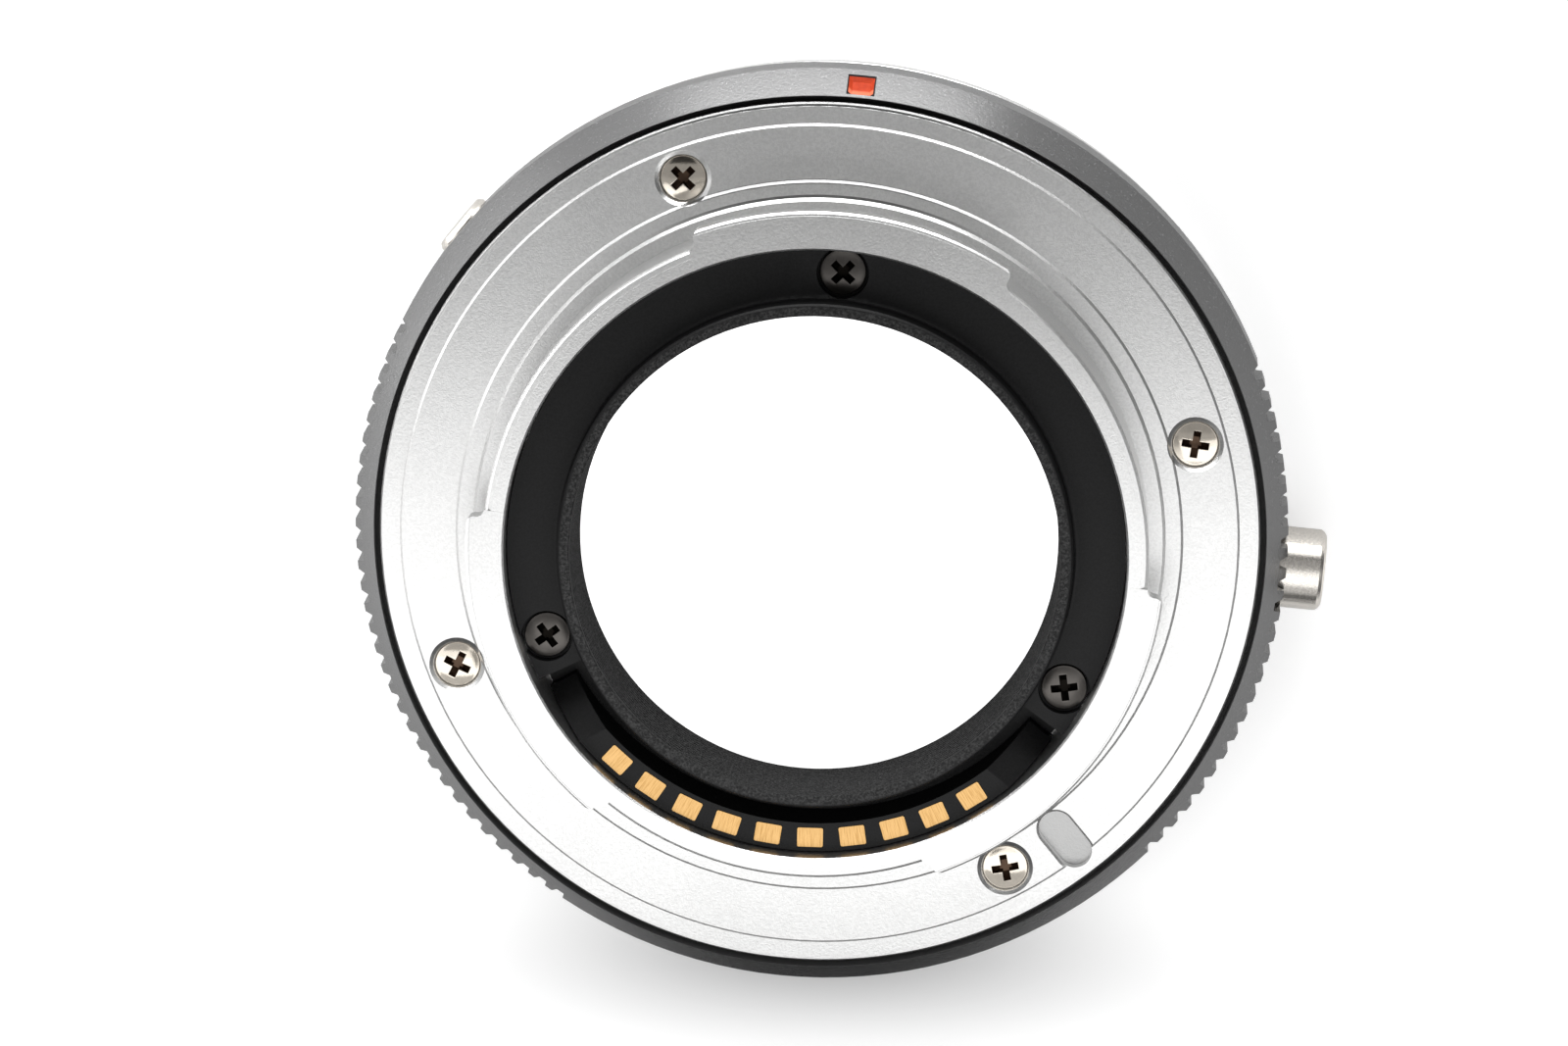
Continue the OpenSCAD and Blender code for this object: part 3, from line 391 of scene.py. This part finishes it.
# Mesh making
def turned_mesh(name, profile, steps):
    """A profile of (radius, height) pairs turned round the Z axis and closed at its poles."""
    shape = bmesh.new()
    rings = []
    for radius, height in profile:
        count = 1 if radius == 0 else steps
        rings.append([shape.verts.new((radius * math.cos(2 * math.pi * i / steps),
            radius * math.sin(2 * math.pi * i / steps), height)) for i in range(count)])
    for low, high in zip(rings, rings[1:]):
        for i in range(steps):
            j = (i + 1) % steps
            corners = [low[i % len(low)], low[j % len(low)], high[j % len(high)], high[i % len(high)]]
            unique = list(dict.fromkeys(corners))
            if len(unique) > 2:
                shape.faces.new(unique)
    bmesh.ops.recalc_face_normals(shape, faces=shape.faces)
    if shape.calc_volume(signed=True) < 0:
        bmesh.ops.reverse_faces(shape, faces=shape.faces)
    mesh = bpy.data.meshes.new(name)
    shape.to_mesh(mesh)
    shape.free()
    return mesh


def put_in_scene(name, mesh):
    made = bpy.data.objects.new(name, mesh)
    bpy.context.scene.collection.objects.link(made)
    return made


def plain_mesh(made, name):
    """The evaluated shape of an object as a mesh of its own."""
    graph = bpy.context.evaluated_depsgraph_get()
    mesh = bpy.data.meshes.new_from_object(made.evaluated_get(graph), depsgraph=graph)
    mesh.name = name
    return mesh


def shade_soft(mesh, degrees=30):
    mesh.polygons.foreach_set("use_smooth", [True] * len(mesh.polygons))
    mesh.set_sharp_from_angle(angle=math.radians(degrees))


def finished(name, mesh, slot, body, *nodes):
    """Puts a finished piece on its body in place of the model's nodes."""
    mesh.materials.clear()
    mesh.materials.append(FINISHES[slot].material)
    piece = put_in_scene(name, mesh)
    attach(piece, body)
    if nodes:
        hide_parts(*nodes)
    return piece


# Screws
def cross_cutter(span, width, depth, top):
    """Tapered cross: its arms are span long and width wide at height 0, and narrow towards the bottom."""
    def outline(share, height):
        a, w = span / 2 * share, width / 2 * (0.7 + 0.3 * share)
        quarter = [(a, -w), (a, w), (w, w)]
        points = []
        for k in range(4):
            c, s = round(math.cos(k * math.pi / 2)), round(math.sin(k * math.pi / 2))
            points += [(x * c - y * s, x * s + y * c, height) for x, y in quarter]
        return points
    places = ((0.42, -depth), (0.78, -0.62 * depth), (0.97, -0.2 * depth), (1.05, top))
    levels = [outline(share, height) for share, height in places]
    shape = bmesh.new()
    rings = [[shape.verts.new(p) for p in level] for level in levels]
    for low, high in zip(rings, rings[1:]):
        for i in range(12):
            j = (i + 1) % 12
            shape.faces.new([low[i], low[j], high[j], high[i]])
    shape.faces.new(rings[0][::-1])
    shape.faces.new(rings[-1])
    bmesh.ops.recalc_face_normals(shape, faces=shape.faces)
    mesh = bpy.data.meshes.new("cross_cutter")
    shape.to_mesh(mesh)
    shape.free()
    return put_in_scene("cross_cutter", mesh)


def dome_profile(radius, crown, edge, steps=10):
    """Points of a shallow dome from its pole to a rounded edge."""
    ball = (radius * radius + crown * crown) / (2 * crown)
    inner = radius - edge
    points = [(0, crown)]
    for i in range(1, steps + 1):
        r = inner * i / steps
        points.append((r, math.sqrt(ball * ball - r * r) - ball + crown))
    height = points[-1][1]
    for i in range(1, 5):
        turn = i / 4 * math.pi / 2
        points.append((inner + edge * math.sin(turn), height - edge * (1 - math.cos(turn))))
    return points


def mark_recess_for_painted_shade(mesh, radius, crown, span, depth):
    """Gives each face inside the cross recess the value 1, where the finish paints shade."""
    ball = (radius * radius + crown * crown) / (2 * crown)
    values = []
    for face in mesh.polygons:
        x, y, z = face.center
        r = math.hypot(x, y)
        surface = math.sqrt(ball * ball - min(r, radius) ** 2) - ball + crown
        values.append(float(r < span * 0.56 and surface - depth * 1.3 < z < surface - 0.05))
    mesh.attributes.new("recess", "FLOAT", "FACE").data.foreach_set("value", values)


def screw_template(name, below, radius, crown, edge, span, width, depth):
    """One screw with its head's edge at height 0, made in millimetres and scaled at the end."""
    screw = put_in_scene(name, turned_mesh(name, dome_profile(radius, crown, edge) + below, 96))
    cutter = cross_cutter(span, width, depth, 0.3)
    cutter.data.transform(Matrix.Translation((0, 0, crown)))
    cut = screw.modifiers.new("cross", "BOOLEAN")
    cut.operation = "DIFFERENCE"
    cut.solver = "FAST"
    cut.object = cutter
    soft = screw.modifiers.new("soft_edges", "BEVEL")
    soft.width = 0.035
    soft.segments = 2
    soft.limit_method = "ANGLE"
    soft.angle_limit = math.radians(45)
    mesh = plain_mesh(screw, name)
    mark_recess_for_painted_shade(mesh, radius, crown, span, depth)
    mesh.transform(Matrix.Scale(MM, 4))
    shade_soft(mesh, 32)
    bpy.data.objects.remove(screw)
    bpy.data.objects.remove(cutter)
    return put_in_scene(name, mesh)


def screw_ring_tree():
    """Sets a screw at each point, turned by the point's own angle."""
    tree = bpy.data.node_groups.new("screw_ring", "GeometryNodeTree")
    face = tree.interface
    face.new_socket("Geometry", in_out="INPUT", socket_type="NodeSocketGeometry")
    face.new_socket("Screw", in_out="INPUT", socket_type="NodeSocketObject")
    face.new_socket("Size", in_out="INPUT", socket_type="NodeSocketFloat").default_value = 1.0
    face.new_socket("Finish", in_out="INPUT", socket_type="NodeSocketMaterial")
    face.new_socket("Geometry", in_out="OUTPUT", socket_type="NodeSocketGeometry")
    add, link = tree.nodes.new, tree.links.new
    start, end = add("NodeGroupInput"), add("NodeGroupOutput")
    info, turn = add("GeometryNodeObjectInfo"), add("GeometryNodeInputNamedAttribute")
    turn.data_type = "FLOAT"
    turn.inputs["Name"].default_value = "turn"
    spin, euler = add("ShaderNodeCombineXYZ"), add("FunctionNodeEulerToRotation")
    place, real, paint = (add("GeometryNodeInstanceOnPoints"), add("GeometryNodeRealizeInstances"),
        add("GeometryNodeSetMaterial"))
    link(start.outputs["Geometry"], place.inputs["Points"])
    link(start.outputs["Screw"], info.inputs["Object"])
    link(info.outputs["Geometry"], place.inputs["Instance"])
    link(turn.outputs["Attribute"], spin.inputs["Z"])
    link(spin.outputs["Vector"], euler.inputs["Euler"])
    link(euler.outputs["Rotation"], place.inputs["Rotation"])
    link(start.outputs["Size"], place.inputs["Scale"])
    link(place.outputs["Instances"], real.inputs["Geometry"])
    link(real.outputs["Geometry"], paint.inputs["Geometry"])
    link(start.outputs["Finish"], paint.inputs["Material"])
    link(paint.outputs["Geometry"], end.inputs["Geometry"])
    return tree


SCREW_RING = screw_ring_tree()


def screw_ring(name, template, radius, level, places, slot, mirrored=False):
    """A ring of screws as one piece that stands for the model's node of that name."""
    points = bpy.data.meshes.new(name + "_points")
    points.from_pydata([(radius * MM * math.cos(math.radians(a)), radius * MM * math.sin(math.radians(a)),
        level * MM) for a, turn in places], [], [])
    turns = points.attributes.new("turn", "FLOAT", "POINT")
    turns.data.foreach_set("value", [math.radians(turn) for a, turn in places])
    carrier = put_in_scene(name + "_points", points)
    modifier = carrier.modifiers.new("screw_ring", "NODES")
    modifier.node_group = SCREW_RING
    sockets = {i.name: i.identifier for i in SCREW_RING.interface.items_tree if i.in_out == "INPUT"}
    modifier[sockets["Screw"]] = template
    modifier[sockets["Size"]] = 1.0
    modifier[sockets["Finish"]] = FINISHES[slot].material
    mesh = plain_mesh(carrier, name + "_ring")
    bpy.data.objects.remove(carrier)
    bpy.data.objects.remove(template)
    return finished(name + "_dressed", mesh, slot, "body", name)


def flange_screws():
    below = [(1.475, -0.02), (0.85, -0.62), (0.85, -4.6), (0, -4.6)]
    template = screw_template("flange_screw", below, 1.475, 0.27, 0.06, 1.84, 0.5, 0.8)
    screw_ring("flange_screws", template, FLANGE_SCREW_R, 9.86, FLANGE_SCREWS, "nickel")


def baffle_screws():
    below = [(1.5, 0.0), (1.5, -0.32), (0.7, -0.32), (0.7, -4.7), (0, -4.7)]
    template = screw_template("baffle_screw", below, 1.5, 0.28, 0.07, 1.8, 0.5, 0.75)
    screw_ring("baffle_screws", template, 18.59, 13.32, [(84.6, 45), (198.4, 36), (-29, 7)], "dark_nickel")


# Soft shading on what the model gives
def soft_shading():
    """A modifier tree that joins a node's triangles and shades them smooth up to a set angle."""
    tree = bpy.data.node_groups.new("soft_shading", "GeometryNodeTree")
    face = tree.interface
    face.new_socket("Geometry", in_out="INPUT", socket_type="NodeSocketGeometry")
    angle = face.new_socket("Sharp Angle", in_out="INPUT", socket_type="NodeSocketFloat")
    angle.default_value = math.radians(24)
    face.new_socket("Geometry", in_out="OUTPUT", socket_type="NodeSocketGeometry")
    add = tree.nodes.new
    link = tree.links.new
    start, end = add("NodeGroupInput"), add("NodeGroupOutput")
    merge, smooth_faces, soft_edges = (add("GeometryNodeMergeByDistance"), add("GeometryNodeSetShadeSmooth"),
        add("GeometryNodeSetShadeSmooth"))
    merge.inputs["Distance"].default_value = 2e-7
    edge = add("GeometryNodeInputMeshEdgeAngle")
    less = add("FunctionNodeCompare")
    less.data_type = "FLOAT"
    less.operation = "LESS_THAN"
    soft_edges.domain = "EDGE"
    link(start.outputs["Geometry"], merge.inputs["Geometry"])
    link(merge.outputs["Geometry"], smooth_faces.inputs["Geometry"])
    link(smooth_faces.outputs["Geometry"], soft_edges.inputs["Geometry"])
    link(edge.outputs["Unsigned Angle"], less.inputs[0])
    link(start.outputs["Sharp Angle"], less.inputs[1])
    link(less.outputs[0], soft_edges.inputs["Shade Smooth"])
    link(soft_edges.outputs["Geometry"], end.inputs["Geometry"])
    return tree


SOFT = soft_shading()
SLOTS = {
    "body_ring": "black_anodised", "camera_bayonet": "satin_chrome", "flange_screws": "nickel",
    "baffle": "black_plastic", "baffle_screws": "dark_nickel", "contact_block": "black_plastic",
    "flex_circuit": "circuit_film", "index_mark": "orange_paint", "release_button": "satin_nickel",
    "release_fork": "brass_fork", "release_spring": "spring_steel", "lock_pin": "nickel",
    "lock_pin_spring": "spring_steel", "function_button": "satin_nickel", "switch_plunger": "nickel",
    "function_switch": "switch_plastic", "lens_ring": "bright_chrome", "lens_ring_screws": "nickel",
    "leaf_springs": "leaf_bronze",
}
SLOTS.update({f"contact_{i:02d}": "gold_contact" for i in range(1, 11)})
for name, node in NODES.items():
    for place in node.material_slots:
        place.material = FINISHES[SLOTS[name]].material
    node.modifiers.new("soft_shading", "NODES").node_group = SOFT


# Studio
def studio_floor():
    """White floor: bright to the camera and in reflections, with the real shadows the lamps cast. Under the
    lower rim its glow is lowered as painted shadow, near the part's lower side it is painted dark in
    reflections, and inside the bore its glow is raised as painted light.
    """
    size = 4.0
    mesh = bpy.data.meshes.new("studio_floor")
    corners = [(-size, -size, 0), (size, -size, 0), (size, size, 0), (-size, size, 0)]
    mesh.from_pydata(corners, [], [(0, 1, 2, 3)])
    floor = bpy.data.objects.new("studio_floor", mesh)
    bpy.context.scene.collection.objects.link(floor)
    f = Finish("studio_floor", (0.8, 0.8, 0.8), 0.0, 0.9)
    path = f.node("ShaderNodeLightPath")
    radius, turn, height = f.polar()
    point = f.node("ShaderNodeSeparateXYZ", Vector=f.place())
    # Inside the bore the floor's glow is raised to white, covering the shade the part casts there: painted
    # light.
    inside = 1.0 - radius.step(18.0, 21.0)
    far = radius.step(42.0, 60.0)
    # Near the part's lower side the floor turns dark in reflections only: painted shade seen in the rim.
    near_side = 1.0 - point["Y"].step(-40.0, -33.0)
    painted_shade_in_reflections = path["Is Glossy Ray"] * near_side * (1.0 - radius.step(90.0, 120.0))
    # An oval under the lower rim where the floor's glow is lowered: painted shadow, added to the real shadow
    # the lamps cast.
    below = f.math("SQRT", (point["X"] / 28.0) ** 2.0 + ((point["Y"] + 32.0) / 7.0) ** 2.0)
    painted_shadow = 1.0 - below.step(0.0, 1.2)
    f.set("Base Color", f.mix(painted_shade_in_reflections, (0.8, 0.8, 0.8), (0.04, 0.04, 0.04)))
    # The floor glows in reflections, dim near the part and brighter far out, more on the left than the right:
    # partly the white backdrop, partly painted reflection.
    sideways = 1.1 - point["X"].step(-45.0, 0.0) * 0.3 - point["X"].step(0.0, 45.0) * 0.4
    painted_reflection_glow = path["Is Glossy Ray"] * (0.1 + far * sideways) * (1.0 - painted_shade_in_reflections)
    # The floor's glow to the camera: lowered by the painted shadow, raised inside the bore as painted light,
    # and brighter far out.
    fill = 0.47 - painted_shadow * 0.5 + inside * 0.7 + radius.step(70.0, 160.0) * 0.55
    strength = path["Is Camera Ray"] * fill + painted_reflection_glow
    glow = f.node("ShaderNodeEmission", Color=(1, 1, 1), Strength=strength)
    both = f.node("ShaderNodeAddShader", n0=Value(f, f.shader.outputs["BSDF"]), n1=glow["Emission"])
    f.tree.links.new(both["Shader"].socket, f.out.inputs["Surface"])
    mesh.materials.append(f.material)


def soft_light(name, centre, facing, width, height, radiance, colour=(1, 1, 1)):
    """A rectangular softbox of an even radiance, unseen by the camera; sizes in millimetres."""
    data = bpy.data.lights.new(name, "AREA")
    data.shape = "RECTANGLE"
    data.size = width * MM
    data.size_y = height * MM
    data.energy = radiance * math.pi * data.size * data.size_y
    data.color = colour
    lamp = bpy.data.objects.new(name, data)
    lamp.visible_camera = False
    bpy.context.scene.collection.objects.link(lamp)
    lamp.location = Vector(centre) * MM
    lamp.rotation_euler = (-Vector(facing)).to_track_quat("Z", "Y").to_euler()
    return lamp


def studio_world():
    """Bright sides and a dim patch overhead, where the camera stands; pure white behind the part."""
    world = bpy.data.worlds.new("studio")
    bpy.context.scene.world = world
    world.use_nodes = True
    tree = world.node_tree
    tree.nodes.clear()
    add, link = tree.nodes.new, tree.links.new
    coord, split = add("ShaderNodeTexCoord"), add("ShaderNodeSeparateXYZ")
    ramp, path, mix, back, out = (add("ShaderNodeValToRGB"), add("ShaderNodeLightPath"), add("ShaderNodeMix"),
        add("ShaderNodeBackground"), add("ShaderNodeOutputWorld"))
    link(coord.outputs["Generated"], split.inputs[0])
    link(split.outputs["Z"], ramp.inputs[0])
    ramp.color_ramp.elements[0].position = 0.55
    ramp.color_ramp.elements[0].color = (0.10, 0.10, 0.10, 1)
    ramp.color_ramp.elements[1].position = 0.9
    ramp.color_ramp.elements[1].color = (0.03, 0.03, 0.03, 1)
    mix.data_type = "RGBA"
    link(path.outputs["Is Camera Ray"], mix.inputs[0])
    link(ramp.outputs[0], mix.inputs[6])
    mix.inputs[7].default_value = (1, 1, 1, 1)
    link(mix.outputs[2], back.inputs["Color"])
    link(back.outputs[0], out.inputs[0])


def studio_lights():
    """A low card over the near half of the part, and panels behind its index mark's side."""
    over_height = 58
    strips = ((40, 15, 0.29), (15, 2, 0.38), (2, -10, 1.22), (-10, -25, 1.6), (-25, -45, 1.56),
        (-45, -120, 0.5))
    for near, far, radiance in strips:
        soft_light("over_card", (0, (near + far) / 2, over_height), (0, 0, -1), 260, near - far, radiance)
    soft_light("mark_card", (0, 62, 13), (0, -1, 0), 50, 25, 3.9)
    soft_light("left_card", (-62, 0, 13), (1, 0, 0), 50, 25, 0.9)
    soft_light("upper_left_card", (-53.7, 31, 13), (0.866, -0.5, 0), 40, 25, 1.6)
    soft_light("top_low_panel", (-25, 200, 50), (0, -1, 0), 210, 40, 4.6)
    soft_light("top_high_panel", (0, 200, 115), (0, -1, 0), 400, 90, 2.2)


flange_screws()
baffle_screws()
photo_camera()
studio_floor()
studio_world()
studio_lights()
bpy.context.scene.view_settings.view_transform = "Standard"
